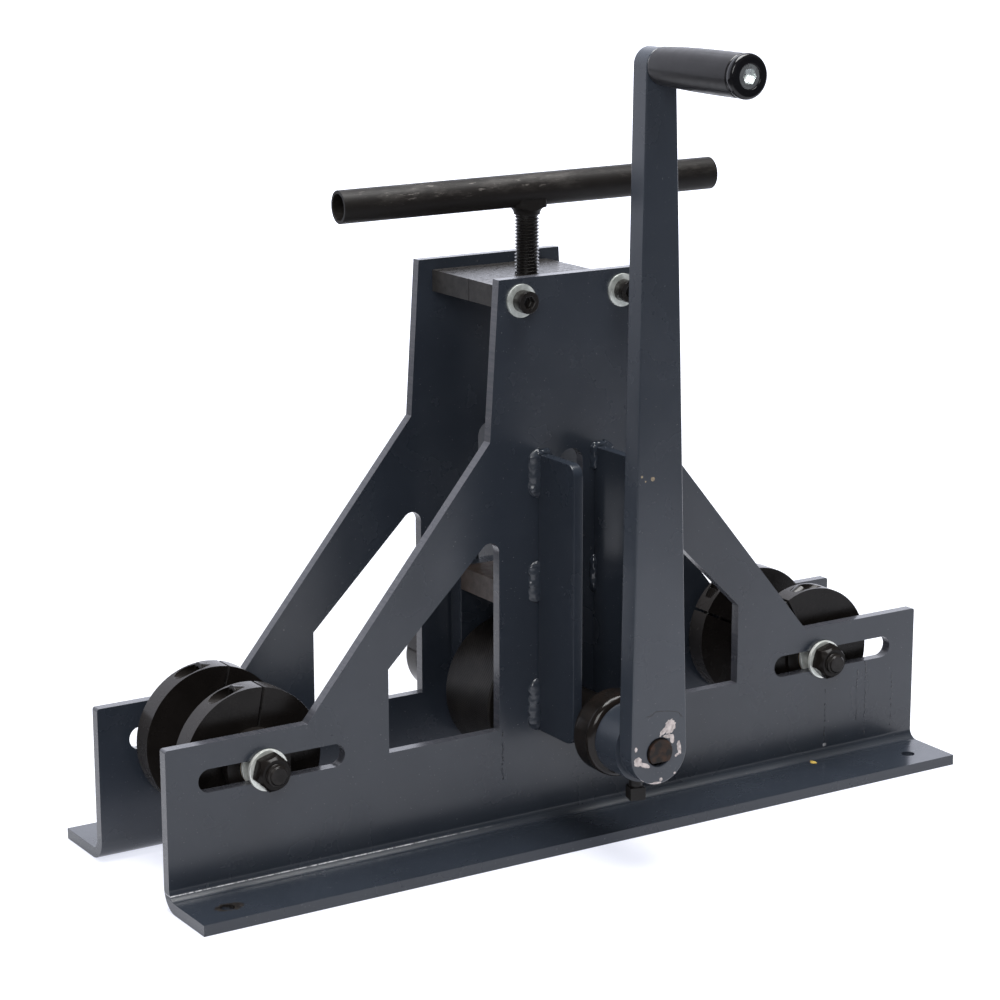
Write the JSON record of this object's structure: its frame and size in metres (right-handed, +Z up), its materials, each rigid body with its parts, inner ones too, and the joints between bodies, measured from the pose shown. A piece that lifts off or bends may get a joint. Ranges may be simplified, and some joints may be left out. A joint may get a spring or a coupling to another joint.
{
  "type": "tube bender",
  "caption": "Manual roller bender for tube: side plates with feet, outer rollers with split collars in level slots, knurled drive roller on a press screw, turned by a long crank.",
  "frame": {"origin": "on the floor plane, at the middle of the four foot holes", "axes": "+X along the base to the right as seen from the crank side, +Y from the crank side to the back, +Z up"},
  "size_m": [0.66, 0.404, 0.5854],
  "materials": {
    "paint": "satin blue-grey paint over mill steel",
    "black_oxide": "black oxide, lightly oiled",
    "mill_scale": "black mill scale with rubbed patches",
    "zinc": "zinc plated",
    "bare_steel": "bare steel, brown with age",
    "bronze": "bearing bronze",
    "grip_plastic": "glossy black"
  },
  "bodies": {
    "frame": {"front_plate": "paint", "back_plate": "paint", "front_left_rail": "paint", "front_right_rail": "paint", "back_left_rail": "paint", "back_right_rail": "paint", "top_block": "mill_scale", "block_screws": "black_oxide", "block_washers": "zinc"},
    "carriage": {"press_bar": "bare_steel", "front_leg": "paint", "back_leg": "paint", "leg_screws": "black_oxide", "leg_bushes": "bronze", "front_guide_bush": "black_oxide", "back_guide_bush": "black_oxide", "thrust_washer": "zinc"},
    "screw": {"press_screw": "mill_scale", "tee_handle": "mill_scale", "tee_weld_bead": "mill_scale", "retaining_collar": "black_oxide", "retaining_pin": "zinc"},
    "crank": {"drive_shaft": "bare_steel", "drive_roller": "black_oxide", "roller_key": "zinc", "front_thrust_ring": "black_oxide", "back_thrust_ring": "black_oxide", "ring_set_screws": "black_oxide", "crank_hub": "paint", "crank_arm": "paint", "crank_set_screw": "black_oxide", "grip_screw": "zinc"},
    "grip": {"grip": "grip_plastic"},
    "left_axle": {"left_axle_bolt": "black_oxide", "left_axle_nut": "black_oxide", "left_axle_washers": "zinc", "left_axle_spacer": "zinc"},
    "left_roller": {"left_roller_sleeve": "black_oxide", "left_roller_bushes": "bronze"},
    "right_axle": {"right_axle_bolt": "black_oxide", "right_axle_nut": "black_oxide", "right_axle_washers": "zinc", "right_axle_spacer": "zinc"},
    "right_roller": {"right_roller_sleeve": "black_oxide", "right_roller_bushes": "bronze"},
    "left_front_collar": {"left_front_collar_outer": "black_oxide", "left_front_collar_inner": "black_oxide", "left_front_collar_screws": "black_oxide"},
    "left_back_collar": {"left_back_collar_outer": "black_oxide", "left_back_collar_inner": "black_oxide", "left_back_collar_screws": "black_oxide"},
    "right_front_collar": {"right_front_collar_outer": "black_oxide", "right_front_collar_inner": "black_oxide", "right_front_collar_screws": "black_oxide"},
    "right_back_collar": {"right_back_collar_outer": "black_oxide", "right_back_collar_inner": "black_oxide", "right_back_collar_screws": "black_oxide"}
  },
  "joints": [
    {"name": "press_travel", "type": "slide", "parent": "frame", "child": "carriage", "axis": [0, 0, 1], "range_m": [-0.00501, 0.1876]},
    {"name": "screw_turn", "type": "hinge", "parent": "carriage", "child": "screw", "pos_m": [0, 0, 0.3], "axis": [0, 0, 1], "range_deg": [-720, 27000]},
    {"name": "crank_turn", "type": "hinge", "parent": "carriage", "child": "crank", "pos_m": [0, 0, 0.088], "axis": [0, 1, 0], "continuous": true},
    {"name": "grip_turn", "type": "hinge", "parent": "crank", "child": "grip", "pos_m": [-0.00471, -0.22, 0.57038], "axis": [0, 1, 0], "continuous": true},
    {"name": "left_axle_slide", "type": "slide", "parent": "frame", "child": "left_axle", "axis": [1, 0, 0], "range_m": [-0.044, 0.053]},
    {"name": "left_roller_turn", "type": "hinge", "parent": "left_axle", "child": "left_roller", "pos_m": [-0.2525, 0, 0.089], "axis": [0, 1, 0], "continuous": true},
    {"name": "right_axle_slide", "type": "slide", "parent": "frame", "child": "right_axle", "axis": [1, 0, 0], "range_m": [-0.0385, 0.0585]},
    {"name": "right_roller_turn", "type": "hinge", "parent": "right_axle", "child": "right_roller", "pos_m": [0.238, 0, 0.089], "axis": [0, 1, 0], "continuous": true},
    {"name": "left_front_collar_slide", "type": "slide", "parent": "left_roller", "child": "left_front_collar", "axis": [0, 1, 0], "range_m": [-0.0085, 0.019]},
    {"name": "left_back_collar_slide", "type": "slide", "parent": "left_roller", "child": "left_back_collar", "axis": [0, 1, 0], "range_m": [-0.019, 0.0085]},
    {"name": "right_front_collar_slide", "type": "slide", "parent": "right_roller", "child": "right_front_collar", "axis": [0, 1, 0], "range_m": [-0.002, 0.0255]},
    {"name": "right_back_collar_slide", "type": "slide", "parent": "right_roller", "child": "right_back_collar", "axis": [0, 1, 0], "range_m": [-0.0255, 0.002]}
  ],
  "couplings": [
    {"joint": "press_travel", "follows": "screw_turn", "m_per_rad": 0.00039789}
  ]
}
